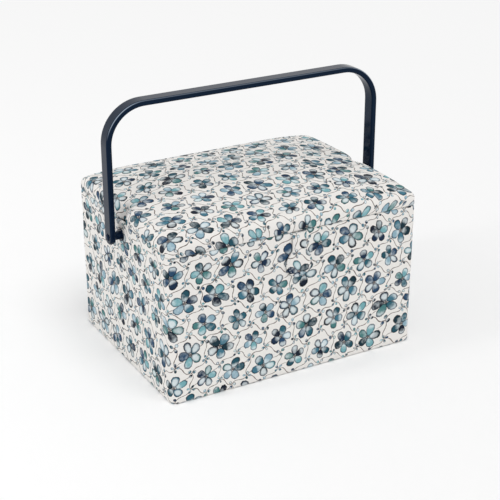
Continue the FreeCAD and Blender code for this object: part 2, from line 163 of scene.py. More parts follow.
def buildPrintCell():
    tree, given, made = newGroup(
        "printCell",
        [("Lattice", "Vector", (0, 0, 0)), ("Shift", "Vector", (0, 0, 0)), ("Loose", "Float", 0.0)],
        [("Local", "Vector"), ("Cell", "Vector"), ("Dice", "Float")],
    )
    moved = vec(tree, "SUBTRACT", given["Lattice"], given["Shift"])
    corner = vec(tree, "FLOOR", moved)
    inside = split(tree, vec(tree, "SUBTRACT", vec(tree, "SUBTRACT", moved, corner), (0.5, 0.5, 0.0)))
    x = calc(tree, "MULTIPLY_ADD", inside[1], 0.5, inside[0])
    y = calc(tree, "MULTIPLY", inside[1], blossom["slope"])
    cell = vec(tree, "ADD", corner, grow(tree, given["Shift"], 31.0))
    dice = put(tree, "TexWhiteNoise", {"Vector": cell}, noise_dimensions="3D").outputs
    stray = grow(tree, vec(tree, "SUBTRACT", dice["Color"], (0.5, 0.5, 0.5)), given["Loose"])
    stray = split(tree, stray)
    feed(tree, made["Local"], vec(tree, "SUBTRACT", pair(tree, x, y), pair(tree, stray[0], stray[1])))
    feed(tree, made["Cell"], cell)
    feed(tree, made["Dice"], dice["Value"])
    return tree


def sector(tree, local, count):  # turns a point into the nearest of count equal sectors
    spot = split(tree, local)
    turn = calc(tree, "ARCTAN2", spot[1], spot[0])
    number = calc(tree, "ROUND", calc(tree, "MULTIPLY", turn, count / math.tau))
    angle = calc(tree, "MULTIPLY", number, -math.tau / count)
    turned = put(tree, "VectorRotate", {"Vector": local, "Angle": angle}, rotation_type="Z_AXIS")
    return number, split(tree, turned.outputs[0])


def spun(tree, local, dice):  # a random turn for each motif
    angle = calc(tree, "MULTIPLY", dice, math.tau)
    return put(tree, "VectorRotate", {"Vector": local, "Angle": angle}, rotation_type="Z_AXIS").outputs[0]


def oval(tree, spot, reach, length, width, egg=0.0):  # 1 at the rim, and how far along its axis
    along = calc(tree, "DIVIDE", calc(tree, "SUBTRACT", spot[0], reach), length)
    swell = calc(tree, "MULTIPLY_ADD", along, egg * width, width)
    across = calc(tree, "DIVIDE", spot[1], swell)
    return along, vec(tree, "LENGTH", pair(tree, along, across))


def inkRamp(tree, value):
    ramp = put(tree, "ValToRGB", {0: value})
    ramp.color_ramp.interpolation = "CONSTANT"
    stops = ramp.color_ramp.elements
    for number, code in enumerate(blossom["inks"]):
        stop = stops[number] if number < 2 else stops.new(number / len(blossom["inks"]))
        stop.position = number / len(blossom["inks"])
        stop.color = shade(code)
    return ramp.outputs[0]


def wash(tree, cell, number, along, rim, grain):  # one watercolour stroke: ink, run of colour, darker edge
    dice = put(tree, "TexWhiteNoise", {"Vector": vec(tree, "ADD", cell, pair(tree, 0.0, 0.0, number))},
               noise_dimensions="3D").outputs
    luck = put(tree, "SeparateColor", {0: dice["Color"]}).outputs
    ink = inkRamp(tree, luck[0])
    pale = tint(tree, 0.74, ink, shade(blossom["paper"]))
    lean = calc(tree, "MULTIPLY", along, calc(tree, "MULTIPLY_ADD", luck[1], 4.0, -2.0))
    flow = calc(tree, "ADD", lean, calc(tree, "MULTIPLY_ADD", grain, 1.6, -0.8))
    colour = tint(tree, calc(tree, "MULTIPLY", fade(tree, flow, -0.3, 0.85), 0.95), ink, pale)
    hollow = calc(tree, "MULTIPLY", fade(tree, luck[2], 0.68, 0.8), fade(tree, rim, 0.82, 0.4))
    colour = tint(tree, calc(tree, "MULTIPLY", hollow, 0.85), colour, shade(blossom["hollowPaper"]))
    edge = calc(tree, "MULTIPLY", fade(tree, rim, 0.66, 0.95), 0.95)
    return tint(tree, edge, colour, shade(blossom["edgeShade"]), "MULTIPLY")


def flatNoise(tree, vector, scale, detail):
    inputs = {"Vector": vector, "Scale": scale, "Detail": detail}
    return put(tree, "TexNoise", inputs, noise_dimensions="2D").outputs


def buildBlossomPrint(cellGroup):
    tree, given, made = newGroup(
        "blossomPrint",
        [("Cut", "Vector", (0, 0, 0)), ("Repeat", "Float", blossom["repeat"]),
         ("Ground", "Color", shade(blossom["ground"]))],
        [("Color", "Color"), ("Ink", "Float")],
    )
    drift = flatNoise(tree, given["Cut"], 11.0, 1.0)["Color"]
    drift = grow(tree, vec(tree, "SUBTRACT", drift, (0.5, 0.5, 0.5)), 2 * blossom["warp"])
    laid = split(tree, vec(tree, "ADD", given["Cut"], drift))
    row = calc(tree, "DIVIDE", calc(tree, "DIVIDE", laid[1], given["Repeat"]), blossom["slope"])
    column = calc(tree, "MULTIPLY_ADD", row, -0.5, calc(tree, "DIVIDE", laid[0], given["Repeat"]))
    lattice = pair(tree, column, row)
    grain = flatNoise(tree, given["Cut"], 190.0, 3.0)[0]
    wobble = flatNoise(tree, given["Cut"], 420.0, 2.0)[0]
    wobble = calc(tree, "MULTIPLY_ADD", wobble, 0.24, -0.12)

    def filler(shift):
        return useGroup(tree, cellGroup, {"Lattice": lattice, "Shift": (*shift, 0.0), "Loose": 0.0})

    berryCell = filler((1 / 3 - 0.5, 1 / 3 - 0.5))
    starCell = filler((2 / 3 - 0.5, 2 / 3 - 0.5))
    reach = 1 / math.sqrt(3)  # from one gap of the honeycomb to the next
    colour = given["Ground"]
    ink = 0.0
    for cell, turn in ((berryCell, 30), (starCell, 90)):
        turned = put(tree, "VectorRotate", {"Vector": cell["Local"], "Angle": -math.radians(turn)},
                     rotation_type="Z_AXIS")
        _, spot = sector(tree, turned.outputs[0], 3)
        bow = calc(tree, "SINE", calc(tree, "MULTIPLY", spot[0], math.tau / reach))
        gap = calc(tree, "ABSOLUTE", calc(tree, "MULTIPLY_ADD", bow, -blossom["stemBow"], spot[1]))
        drawn = calc(tree, "MULTIPLY", grain, 2 * blossom["stemWidth"])  # a line of uneven weight
        line = fade(tree, calc(tree, "DIVIDE", gap, drawn), 1.0, 0.55)
        colour = tint(tree, calc(tree, "MULTIPLY", line, 0.8), colour, shade(blossom["stem"]))
        ink = calc(tree, "MAXIMUM", ink, line)

    number, spot = sector(tree, spun(tree, berryCell["Local"], berryCell["Dice"]), blossom["berries"])
    along, rim = oval(tree, spot, blossom["berryReach"], blossom["berrySize"], blossom["berrySize"])
    rim = calc(tree, "ADD", rim, wobble)
    depth = fade(tree, rim, 1.0, 0.88)
    colour = tint(tree, depth, colour, wash(tree, berryCell["Cell"], number, along, rim, grain))
    ink = calc(tree, "MAXIMUM", ink, depth)

    number, spot = sector(tree, spun(tree, starCell["Local"], starCell["Dice"]), blossom["starPetals"])
    along, rim = oval(tree, spot, blossom["starReach"], blossom["starLength"], blossom["starWidth"], 0.3)
    rim = calc(tree, "ADD", rim, wobble)
    depth = fade(tree, rim, 1.0, 0.86)
    colour = tint(tree, depth, colour, wash(tree, starCell["Cell"], number, along, rim, grain))
    ink = calc(tree, "MAXIMUM", ink, depth)

    flower = useGroup(tree, cellGroup,
                      {"Lattice": lattice, "Shift": (0.5, 0.5, 0.0), "Loose": blossom["loose"]})
    spread = blossom["sizeSpread"]
    larger = calc(tree, "MULTIPLY_ADD", flower["Dice"], spread, 1 - 0.4 * spread)
    turned = grow(tree, spun(tree, flower["Local"], calc(tree, "MULTIPLY", flower["Dice"], 7.0)), larger)
    number, spot = sector(tree, turned, blossom["petals"])
    along, rim = oval(tree, spot, blossom["petalReach"], blossom["petalLength"], blossom["petalWidth"], 0.26)
    rim = calc(tree, "ADD", rim, wobble)
    depth = fade(tree, rim, 1.0, 0.94)
    colour = tint(tree, depth, colour, wash(tree, flower["Cell"], number, along, rim, grain))
    eye = fade(tree, calc(tree, "ADD", vec(tree, "LENGTH", turned), calc(tree, "MULTIPLY", wobble, 0.1)),
               blossom["eye"], 0.75 * blossom["eye"])
    colour = tint(tree, calc(tree, "MULTIPLY", eye, 0.85), colour, shade(blossom["eyeColour"]))
    ink = calc(tree, "MAXIMUM", calc(tree, "MAXIMUM", ink, depth), eye)
    feed(tree, made["Color"], colour)
    feed(tree, made["Ink"], ink)
    return tree


def buildClothWeave():
    tree, given, made = newGroup(
        "clothWeave",
        [("Cut", "Vector", (0, 0, 0)), ("Pitch", "Float", 0.7 * mm), ("Slub", "Float", 0.08)],
        [("Shade", "Float"), ("Height", "Float")],
    )
    spot = split(tree, grow(tree, given["Cut"], calc(tree, "DIVIDE", math.pi, given["Pitch"])))
    warp = calc(tree, "SINE", spot[0])
    weft = calc(tree, "SINE", spot[1])
    over = fade(tree, calc(tree, "MULTIPLY", warp, weft), -0.3, 0.3)
    threads = put(tree, "Mix", {0: over, 2: calc(tree, "ABSOLUTE", warp), 3: calc(tree, "ABSOLUTE", weft)},
                  data_type="FLOAT").outputs[0]
    long = flatNoise(tree, vec(tree, "MULTIPLY", given["Cut"], (60.0, 900.0, 0.0)), 1.0, 2.0)[0]
    tall = flatNoise(tree, vec(tree, "MULTIPLY", given["Cut"], (900.0, 60.0, 0.0)), 1.0, 2.0)[0]
    slub = calc(tree, "SUBTRACT", calc(tree, "ADD", long, tall), 1.0)
    slub = calc(tree, "MULTIPLY", slub, given["Slub"])
    # painted shade: thread crowns a little lighter than the hollows between them; the slub adds the yarn's
    # own uneven tone
    lit = calc(tree, "MULTIPLY_ADD", threads, 0.06, 0.95)
    feed(tree, made["Shade"], calc(tree, "ADD", lit, slub))
    feed(tree, made["Height"], calc(tree, "ADD", threads, calc(tree, "MULTIPLY", slub, 4.0)))
    return tree


def buildHandlingWear():
    tree, given, made = newGroup(
        "handlingWear",
        [("Place", "Vector", (0, 0, 0)), ("Scale", "Float", 40.0)],
        [("Smear", "Float"), ("Scratch", "Float")],
    )
    smear = put(tree, "TexNoise", {"Vector": given["Place"], "Scale": given["Scale"], "Detail": 5.0,
                                   "Roughness": 0.62})
    long = vec(tree, "MULTIPLY", given["Place"], (1.0, 6.0, 6.0))
    scratch = put(tree, "TexNoise", {"Vector": long, "Scale": calc(tree, "MULTIPLY", given["Scale"], 9.0),
                                     "Detail": 2.0})
    feed(tree, made["Smear"], fade(tree, smear.outputs[0], 0.3, 0.72))
    feed(tree, made["Scratch"], scratch.outputs[0])
    return tree


printGroup = buildBlossomPrint(buildPrintCell())
weaveGroup = buildClothWeave()
wearGroup = buildHandlingWear()


# Materials, each one node tree round its own Principled shader

def newMaterial(name, roughness, **plain):
    material = bpy.data.materials.new(name)
    material.use_nodes = True
    tree = material.node_tree
    shader = tree.nodes["Principled BSDF"]
    shader.inputs["Roughness"].default_value = roughness
    for key, value in plain.items():
        shader.inputs[key.replace("_", " ")].default_value = value
    return material, tree, shader


def bumped(tree, shader, height, distance, strength=0.6):
    bump = put(tree, "Bump", {"Height": height, "Distance": distance, "Strength": strength})
    tree.links.new(bump.outputs[0], shader.inputs["Normal"])


def clothMaterial(name, colour, pitch, slub, sheen, roughness=0.86):
    material, tree, shader = newMaterial(name, roughness, Sheen_Weight=sheen, Sheen_Roughness=0.45,
                                         Specular_IOR_Level=0.2)
    cut = put(tree, "UVMap", uv_map="cut").outputs[0]
    weave = useGroup(tree, weaveGroup, {"Cut": cut, "Pitch": pitch, "Slub": slub})
    if colour is None:
        colour = useGroup(tree, printGroup, {"Cut": cut})["Color"]
    else:
        cloud = put(tree, "TexNoise", {"Vector": cut, "Scale": 24.0, "Detail": 3.0}).outputs[0]
        under = tuple(0.95 * part for part in shade(colour)[:3])
        colour = tint(tree, fade(tree, cloud, 0.3, 0.7), (*under, 1.0), shade(colour))
    shaded = pair(tree, weave["Shade"], weave["Shade"], weave["Shade"])
    tree.links.new(tint(tree, 1.0, colour, shaded, "MULTIPLY"), shader.inputs["Base Color"])
    bumped(tree, shader, weave["Height"], 0.06 * mm)
    return material


# bloom: how much paler handled patches are; the last weight: how strong the painted highlight on the bar's
# rounded upper edges is
def plasticMaterial(name, colour, bloom, gloss, paintedHighlight, **plain):
    material, tree, shader = newMaterial(name, gloss[0], **plain)
    place = put(tree, "TexCoord").outputs["Object"]
    wear = useGroup(tree, wearGroup, {"Place": place, "Scale": 34.0})
    low, high = shade(colour), tuple((1 + bloom) * part for part in shade(colour)[:3])
    paint = tint(tree, wear["Smear"], low, (*high, 1.0))
    if paintedHighlight:  # painted highlight: the bar's rounded upper edges lightened where light would glint on them
        facing = split(tree, put(tree, "TexCoord").outputs["Normal"])
        side = calc(tree, "ABSOLUTE", facing[1])
        edge = calc(tree, "MULTIPLY", fade(tree, side, 0.45, 0.65), fade(tree, side, 0.97, 0.85))
        edge = calc(tree, "MULTIPLY", edge, fade(tree, facing[2], 0.1, 0.4))
        bend = calc(tree, "ABSOLUTE", facing[0])
        edge = calc(tree, "MULTIPLY", edge, fade(tree, bend, 0.0, 0.4, 0.35, 1.0))
        paint = tint(tree, calc(tree, "MULTIPLY", edge, paintedHighlight), paint, shade("a9b6c4"))
    tree.links.new(paint, shader.inputs["Base Color"])
    tree.links.new(fade(tree, wear["Smear"], 0.0, 1.0, *gloss), shader.inputs["Roughness"])
    bumped(tree, shader, wear["Scratch"], 0.02 * mm, 0.35)
    return material


def boardMaterial():
    material, tree, shader = newMaterial("pressedBoard", 0.92)
    place = put(tree, "TexCoord").outputs["Object"]
    fibre = put(tree, "TexNoise", {"Vector": place, "Scale": 900.0, "Detail": 4.0}).outputs[0]
    tree.links.new(tint(tree, fade(tree, fibre, 0.3, 0.7), shade("8d7a63"), shade("b7a58c")),
                   shader.inputs["Base Color"])
    bumped(tree, shader, fibre, 0.08 * mm)
    return material


def steelMaterial():
    material, tree, shader = newMaterial("platedSteel", 0.3, Metallic=1.0)
    place = put(tree, "TexCoord").outputs["Object"]
    wear = useGroup(tree, wearGroup, {"Place": place, "Scale": 90.0})
    tree.links.new(tint(tree, wear["Smear"], shade("b9babd"), shade("d0d0d2")), shader.inputs["Base Color"])
    tree.links.new(fade(tree, wear["Smear"], 0.0, 1.0, 0.22, 0.38), shader.inputs["Roughness"])
    return material


def elasticMaterial():
    material, tree, shader = newMaterial("ribbedElastic", 0.8, Sheen_Weight=0.2)
    cut = put(tree, "UVMap", uv_map="cut").outputs[0]
    ribs = calc(tree, "SINE", calc(tree, "MULTIPLY", split(tree, cut)[1], math.tau / (1.1 * mm)))
    ribs = calc(tree, "MULTIPLY_ADD", ribs, 0.5, 0.5)
    # painted shade: the grooves between the ribs darker than the rib crowns, which the bump also raises
    tree.links.new(tint(tree, ribs, shade("d8d3c9"), shade("efece5")), shader.inputs["Base Color"])
    bumped(tree, shader, ribs, 0.2 * mm)
    return material


printedCotton = clothMaterial("printedCotton", None, 0.7 * mm, 0.05, 0.06)
liningCotton = clothMaterial("liningCotton", "e9e4da", 0.8 * mm, 0.1, 0.2)
cushionCotton = clothMaterial("cushionCotton", "2c3e60", 0.9 * mm, 0.16, 0.1)
threadCotton = clothMaterial("threadCotton", "d5d8dc", 0.4 * mm, 0.2, 0.3)
navy = {"colour": "0a1528", "bloom": 0.2, "gloss": (0.08, 0.15), "Specular_IOR_Level": 0.18,
        "Specular_Tint": (0.3, 0.62, 1.0, 1.0)}
plasticMaterial("navyMoulding", paintedHighlight=0.0, **navy)
plasticMaterial("handleMoulding", paintedHighlight=0.75, **navy)
plasticMaterial("trayMoulding", "dfe4e8", 0.03, (0.3, 0.42), 0.0, Subsurface_Weight=0.15,
                Subsurface_Scale=4 * mm)
boardMaterial()
steelMaterial()
ribbedElastic = elasticMaterial()
print("materials made:", len(bpy.data.materials))


# Mesh tools

def newPiece(name, points, faces, corners):  # corners: where each face corner lies on the flat cloth
    mesh = bpy.data.meshes.new(name)
    mesh.from_pydata([tuple(p) for p in points], [], faces)
    layer = mesh.uv_layers.new(name="cut")
    spots = [spot for face in corners for spot in face]
    layer.data.foreach_set("uv", [value for spot in spots for value in spot[:2]])
    mesh.shade_smooth()
    piece = bpy.data.objects.new(name, mesh)
    bpy.context.scene.collection.objects.link(piece)
    return piece


def gridFaces(rows, columns, closed=False):
    across = columns if closed else columns - 1
    for r in range(rows - 1):
        for c in range(across):
            yield (r, c), (r, c + 1), (r + 1, c + 1), (r + 1, c)


def gridPiece(name, grid, cut, closed=False):  # a closed grid has one more place on the cloth in each row
    columns = len(grid[0])
    faces, corners = [], []
    for spots in gridFaces(len(grid), columns, closed):
        faces.append([r * columns + c % columns for r, c in spots])
        corners.append([cut[r][c] for r, c in spots])
    return newPiece(name, [p for row in grid for p in row], faces, corners)


def outward(piece):
    mesh = bmesh.new()
    mesh.from_mesh(piece.data)
    bmesh.ops.recalc_face_normals(mesh, faces=mesh.faces)
    mesh.to_mesh(piece.data)
    mesh.free()
    return piece


def thicken(piece, thickness, offset=-1.0):
    solid = piece.modifiers.new("thickness", "SOLIDIFY")
    solid.thickness = thickness
    solid.offset = offset
    return settle(piece)


def settle(piece):  # keeps what the modifiers give
    graph = bpy.context.evaluated_depsgraph_get()
    made = bpy.data.meshes.new_from_object(piece.evaluated_get(graph), preserve_all_data_layers=True,
                                           depsgraph=graph)
    piece.modifiers.clear()
    piece.data = made
    return piece


def dress(piece, material, body, slot, *stoodFor):
    piece.data.materials.clear()
    piece.data.materials.append(material)
    if body:
        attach(piece, body)
    if stoodFor:
        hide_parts(*stoodFor)
    return piece


def ripple(point, length, amount):  # a slow uneven swell of the cloth
    return amount * noise.noise(Vector(point) / length)


def ease(value):
    value = min(max(value, 0.0), 1.0)
    return value * value * (3 - 2 * value)


def stops(low, high, step, edge=()):  # even stops from low to high, with closer ones near both ends
    count = max(2, round((high - low) / step))
    places = {low + (high - low) * n / count for n in range(count + 1)}
    near = [low + d for d in edge] + [high - d for d in edge]
    far = max(edge, default=0.0)
    kept = [p for p in places if p in (low, high) or low + 1.2 * far < p < high - 1.2 * far]
    return sorted(set(kept) | set(near))


def roundedRing(halfX, halfY, radius, along, across, crowd, waists=1):
    # points anticlockwise from the back left corner's middle, closer together near the corners
    # and, with two waists, in the middle of the short sides
    def share(count, n, waves):
        even = n / count
        return even - crowd * math.sin(math.tau * waves * even) / (math.tau * waves)

    def sidePoint(t, half):  # along one side from corner middle to corner middle
        quarter = radius * math.pi / 4
        total = 2 * quarter + 2 * (half - radius)
        run = t * total
        if run < quarter:
            angle = math.pi / 4 - run / radius
            return -(half - radius) - radius * math.sin(angle), radius * (math.cos(angle) - 1)
        if run > total - quarter:
            angle = math.pi / 4 - (total - run) / radius
            return (half - radius) + radius * math.sin(angle), radius * (math.cos(angle) - 1)
        return run - quarter - (half - radius), 0.0

    ring = []
    sides = ((halfY, halfX, across, waists), (halfX, halfY, along, 1)) * 2
    for side, (half, other, count, waves) in enumerate(sides):
        turn = math.pi + side * math.pi / 2  # which way the side faces: left, front, right, back
        out = Vector((math.cos(turn), math.sin(turn)))
        walk = Vector((-out.y, out.x))
        for n in range(count):
            run, back = sidePoint(share(count, n, waves), half)
            ring.append(walk * run + out * (other + back))
    return ring


# Body: one printed strip wrapped round the four walls, over the rim and under the foot

sideLow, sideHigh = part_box("side_cover")
halfX, halfY = sideHigh.x, sideHigh.y
rimZ = sideHigh.z
cornerRadius = 8 * mm

wrap = {
    "along": 64,              # columns on the long and short sides
    "across": 52,
    "crowd": 0.8,             # how much closer the columns stand near the corners
    "rowStep": 6 * mm,
    "rimRoll": 2.2 * mm,
    "footRoll": 1.6 * mm,
    "foot": 0.3 * mm,
    "turnUnder": 9 * mm,
    "rimWidth": 4.8 * mm,
    "turnDown": 9 * mm,
    "innerRoll": 1.0 * mm,
    "tightest": 1.2 * mm,     # least corner radius
    "calm": 25 * mm,          # the swell dies out this near the rim and the foot
    "swell": 0.4 * mm,
    "swellLength": 75 * mm,
    "cloth": 0.6 * mm,
    "lap": 10 * mm,           # glued lap at the back, left of the middle
}


def wrapProfile():
    roll, foot = wrap["rimRoll"], wrap["footRoll"]
    rows = [(wrap["turnUnder"], wrap["foot"]), (2.5 * foot, wrap["foot"])]
    for n in range(5):
        angle = math.radians(90 * n / 4)
        rows.append((foot * (1 - math.sin(angle)), wrap["foot"] + foot * (1 - math.cos(angle))))
    for z in stops(wrap["foot"] + foot, rimZ - roll, wrap["rowStep"])[1:]:
        rows.append((0.0, z))
    for n in range(1, 6):
        angle = math.radians(90 * n / 5)
        rows.append((roll * (1 - math.cos(angle)), rimZ - roll + roll * math.sin(angle)))
    inner = wrap["innerRoll"]
    for n in range(4):
        angle = math.radians(90 * n / 3)
        rows.append((wrap["rimWidth"] - inner * (1 - math.sin(angle)), rimZ - inner * (1 - math.cos(angle))))
    rows.append((wrap["rimWidth"], rimZ - wrap["turnDown"]))
    return rows


def makeBodyWrap():
    rows = wrapProfile()
    heights = [0.0]
    for before, after in zip(rows, rows[1:]):
        heights.append(heights[-1] + math.dist(before, after))
    outer = roundedRing(halfX, halfY, cornerRadius, wrap["along"], wrap["across"], wrap["crowd"])
    runs = [0.0]
    for before, after in zip(outer, outer[1:] + outer[:1]):
        runs.append(runs[-1] + (after - before).length)
    grid, cut = [], []
    for (inset, z), v in zip(rows, heights):
        radius = max(cornerRadius - inset, wrap["tightest"])
        ring = roundedRing(halfX - inset, halfY - inset, radius, wrap["along"], wrap["across"], wrap["crowd"])
        calm = ease((z - wrap["foot"]) / wrap["calm"]) * ease((rimZ - z) / wrap["calm"])
        line = []
        for spot, edge in zip(ring, outer):
            away = Vector((edge.x, edge.y)) * (1 / max(edge.length, mm))
            swell = ripple((spot.x, spot.y, z), wrap["swellLength"], wrap["swell"]) - 0.5 * wrap["swell"]
            swell *= calm
            line.append(Vector((spot.x + away.x * swell, spot.y + away.y * swell, z)))
        grid.append(line)
        cut.append([(u, v) for u in runs])
    piece = outward(gridPiece("bodyWrap", grid, cut, closed=True))
    thicken(piece, wrap["cloth"])
    return dress(piece, printedCotton, "box", "printed_cloth", "side_cover")


makeBodyWrap()
print("body wrapped")


# Flat soft panels: linings, tray rests, base cloth and hinge strip

panel = {
    "step": 9 * mm,
    "edgeStops": (0.0, 0.12, 0.3, 0.55, 0.8, 1.0),  # shares of the rounded edge
    "swell": 0.25 * mm,
    "swellLength": 45 * mm,
    "calm": 12 * mm,
    "liningEdge": 1.6 * mm,
    "washerDip": (8.5 * mm, 1.2 * mm),  # radius and depth
    "baseInset": 5 * mm,
    "baseEdge": 0.7 * mm,
    "baseCut": (0.4, 0.7),    # where the piece lies on the flat cloth
}


def softPanel(name, low, high, facing, edge, dips=(), stopsAcross=(), swell=None, lift=(0.0, 0.0)):
    # a thin pad with a rounded edge and a flat back
    # facing is its axis and sign, dips are (u, v, radius, depth)
    axis, sign = facing
    flat = [n for n in range(3) if n != axis]
    thick = high[axis] - low[axis]
    back = low[axis] if sign > 0 else high[axis]
    near = tuple(edge * share for share in panel["edgeStops"])
    us = stops(low[flat[0]], high[flat[0]], panel["step"], near)
    vs = sorted(set(stops(low[flat[1]], high[flat[1]], panel["step"], near)) | set(stopsAcross))
    swell = panel["swell"] if swell is None else swell

    def place(u, v, rise):
        point = [0.0, 0.0, 0.0]
        point[flat[0]], point[flat[1]], point[axis] = u, v, back + sign * rise
        return Vector(point)

    points, front, behind = [], {}, {}
    for i, u in enumerate(us):
        for j, v in enumerate(vs):
            rim = min(u - us[0], us[-1] - u, v - vs[0], vs[-1] - v)
            rise = thick * math.sqrt(max(0.0, 1 - (1 - min(rim / edge, 1.0)) ** 2))
            dent = min(0.0, ripple((u, v, 3 * back), panel["swellLength"], swell))
            rise += dent * ease(rim / panel["calm"])
            for cu, cv, radius, depth in dips:
                rise -= depth * (1 - ease(math.hypot(u - cu, v - cv) / radius - 1))
            front[i, j] = len(points)
            points.append(place(u, v, max(rise, 0.0)))
            inside = 0 < i < len(us) - 1 and 0 < j < len(vs) - 1
            behind[i, j] = len(points) if inside else front[i, j]
            if inside:
                points.append(place(u, v, 0.0))
    faces, corners = [], []
    for spots in gridFaces(len(us), len(vs)):
        where = [(us[i] + lift[0], vs[j] + lift[1]) for i, j in spots]
        faces += [[front[s] for s in spots], [behind[s] for s in reversed(spots)]]
        corners += [where, where[::-1]]
    return outward(newPiece(name, points, faces, corners))


def makeLinings():
    washer = {"left_lining": "left_stud_washer", "right_lining": "right_stud_washer"}
    faces = {
        "front_lining": (1, 1), "back_lining": (1, -1), "left_lining": (0, 1), "right_lining": (0, -1),
        "base_lining": (2, 1), "lid_lining": (2, -1), "left_tray_rest": (0, 1), "right_tray_rest": (0, -1),
    }
    for node, facing in faces.items():
        low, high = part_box(node)
        dips = []
        if node in washer:
            centre = sum(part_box(washer[node]), Vector()) / 2
            dips = [(centre.y, centre.z, *panel["washerDip"])]
        name = node.split("_")[0] + "".join(word.title() for word in node.split("_")[1:]) + "Cloth"
        edge = min(panel["liningEdge"], 0.8 * (high - low)[facing[0]])
        piece = softPanel(name, low, high, facing, edge, dips)
        dress(piece, liningCotton, "lid" if node == "lid_lining" else "box", "lining_cloth", node)


def makeBaseCloth():
    low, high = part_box("base_cover")
    inset = Vector((panel["baseInset"], panel["baseInset"], 0))
    piece = softPanel("baseCloth", low + inset, high - inset, (2, -1), panel["baseEdge"], swell=0.0,
                      lift=panel["baseCut"])
    return dress(piece, printedCotton, "box", "printed_cloth", "base_cover")


hinge = {"bend": 3 * mm, "bendRows": 9, "edge": 0.6 * mm, "swell": 0.1 * mm, "cut": (0.9, 0.2)}


def makeHingeStrip():
    low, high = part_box("hinge_cloth")
    joint = next(j for j in frame["joints"] if j["name"] == "lid_hinge")
    level = joint["pos_m"][2]
    rows = [level + hinge["bend"] * (2 * n / (hinge["bendRows"] - 1) - 1) for n in range(hinge["bendRows"])]
    piece = softPanel("hingeStrip", low, high, (1, 1), hinge["edge"], stopsAcross=rows, swell=hinge["swell"],
                      lift=hinge["cut"])
    dress(piece, printedCotton, None, "printed_cloth", "hinge_cloth")
    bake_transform(piece)
    return piece


makeLinings()
makeBaseCloth()
makeHingeStrip()
print("linings, base cloth and hinge strip made")


# Lid: printed cover over wadding, rolled over the edge and turned under

lidLow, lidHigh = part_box("lid_cover")

lid = {
    "along": 84,
    "across": 76,
    "crowd": 0.62,
    "side": 8 * mm,           # upright height before the roll
    "roll": 10 * mm,
    "rollSteps": 9,
    "crown": 12 * mm,
    "cornerGrowth": 0.35,
    "hemRoll": 1.4 * mm,
    "hemFlat": 8 * mm,
    "hem": 15 * mm,
    "hemRise": 0.6 * mm,
    "notchRadius": 14 * mm,   # hollow beside each leg of the handle
    "notchDepth": 5.5 * mm,
    "notchLip": 2.4 * mm,
    "notchFade": 8 * mm,
    "notchDip": 2.2 * mm,
    "gather": 0.8 * mm,
    "gathers": 13,
    "gatherReach": 11 * mm,
    "swell": 0.55 * mm,
    "swellLength": 55 * mm,
    "pleat": 0.32 * mm,
    "pleatLength": 5.2 * mm,
    "pleatReach": 16 * mm,
    "pleatFrom": 2 * mm,      # heights over the lid's foot
    "gatherFrom": 4 * mm,
    "evenings": 10,
    "evenFrom": 2 * mm,
    "cut": (1.3, 0.6),        # where the piece lies on the flat cloth
}
lidShoulder = lidLow.z + lid["side"]


def crownLevel(x, y):  # the wadding's height over the lid
    across = max(0.0, (abs(x) - (halfX - halfY)) / halfY)
    deep = abs(y) / halfY
    return lidHigh.z - lid["crown"] * math.sqrt(across ** 4 + deep ** 4)


def notchPush(y, inset):  # how far the outline is drawn in beside the handle
    radius = lid["notchRadius"] + inset
    chord = math.sqrt(max(radius ** 2 - y ** 2, 0.0)) - radius + lid["notchDepth"]
    soft = 0.5 * (chord + math.hypot(chord, lid["notchLip"]))
    width = math.sqrt(radius ** 2 - (radius - lid["notchDepth"]) ** 2)
    return soft * (1 - ease((abs(y) - width) / lid["notchFade"]))


def lidRing(inset, radius, under=False):
    ring = roundedRing(halfX - inset, halfY - inset, radius, lid["along"], lid["across"], lid["crowd"], 2)
    share = max(0.0, 1 - inset / lid["hemFlat"]) if under else 1.0
    for spot in ring:
        if abs(spot.y) < halfY / 2:
            spot.x -= math.copysign(share * notchPush(spot.y, 0.0 if under else inset), spot.x)
    return ring


def lidRows():  # rings of points from the hem beneath, up the side and over the roll
    hem = lid["hemRoll"]
    steps = [(lid["hem"], lidLow.z + lid["hemRise"]), (lid["hemFlat"], lidLow.z), (3 * hem, lidLow.z)]
    for n in range(4):
        angle = math.radians(90 * n / 3)
        steps.append((hem * (1 - math.sin(angle)), lidLow.z + hem * (1 - math.cos(angle))))
    steps += [(0.0, lidLow.z + share * lid["side"]) for share in (0.4, 0.6, 0.8, 1.0)]
    rows = []
    for inset, z in steps:
        ring = lidRing(inset, max(cornerRadius - inset, hem), under=True)
        rows.append([Vector((p.x, p.y, z)) for p in ring])
    edge = lidRing(lid["roll"], cornerRadius + lid["cornerGrowth"] * lid["roll"])
    for n in range(1, lid["rollSteps"] + 1):
        angle = math.radians(90 * n / lid["rollSteps"])
        inset = lid["roll"] * (1 - math.cos(angle))
        ring = lidRing(inset, cornerRadius + lid["cornerGrowth"] * inset)
        rows.append([
            Vector((p.x, p.y, lidShoulder + math.sin(angle) * (crownLevel(e.x, e.y) - lidShoulder)))
            for p, e in zip(ring, edge)
        ])
    return rows, edge


def lidRelief(point):  # fine shape of the cloth over the wadding, along its normal
    x, y, z = point
    top = ease((z - lidShoulder) / lid["side"])
    amount = top * ripple((x, y, 0.7), lid["swellLength"], lid["swell"])
    sx, sy = math.copysign(1, x), math.copysign(1, y)
    out = Vector((x - sx * halfX, y - sy * halfY))
    slant = (sx * out.y - sy * out.x) / math.sqrt(2)  # across the corner's diagonal
    near = 1 - ease(out.length / lid["pleatReach"] - 0.25)
    near *= ease((z - lidLow.z - lid["pleatFrom"]) / lid["side"])
    amount += lid["pleat"] * near * (math.cos(math.tau * slant / lid["pleatLength"]) - 0.4)
    inward = halfX - lid["notchDepth"] - abs(x)
    reach = math.hypot(inward, y)
    close = math.exp(-(reach / lid["gatherReach"]) ** 2)
    close *= ease((z - lidLow.z - lid["gatherFrom"]) / lid["side"])
    amount -= lid["notchDip"] * close
    amount += lid["gather"] * close * math.sin(lid["gathers"] * math.atan2(y, inward + lid["gatherFrom"]))
    return amount


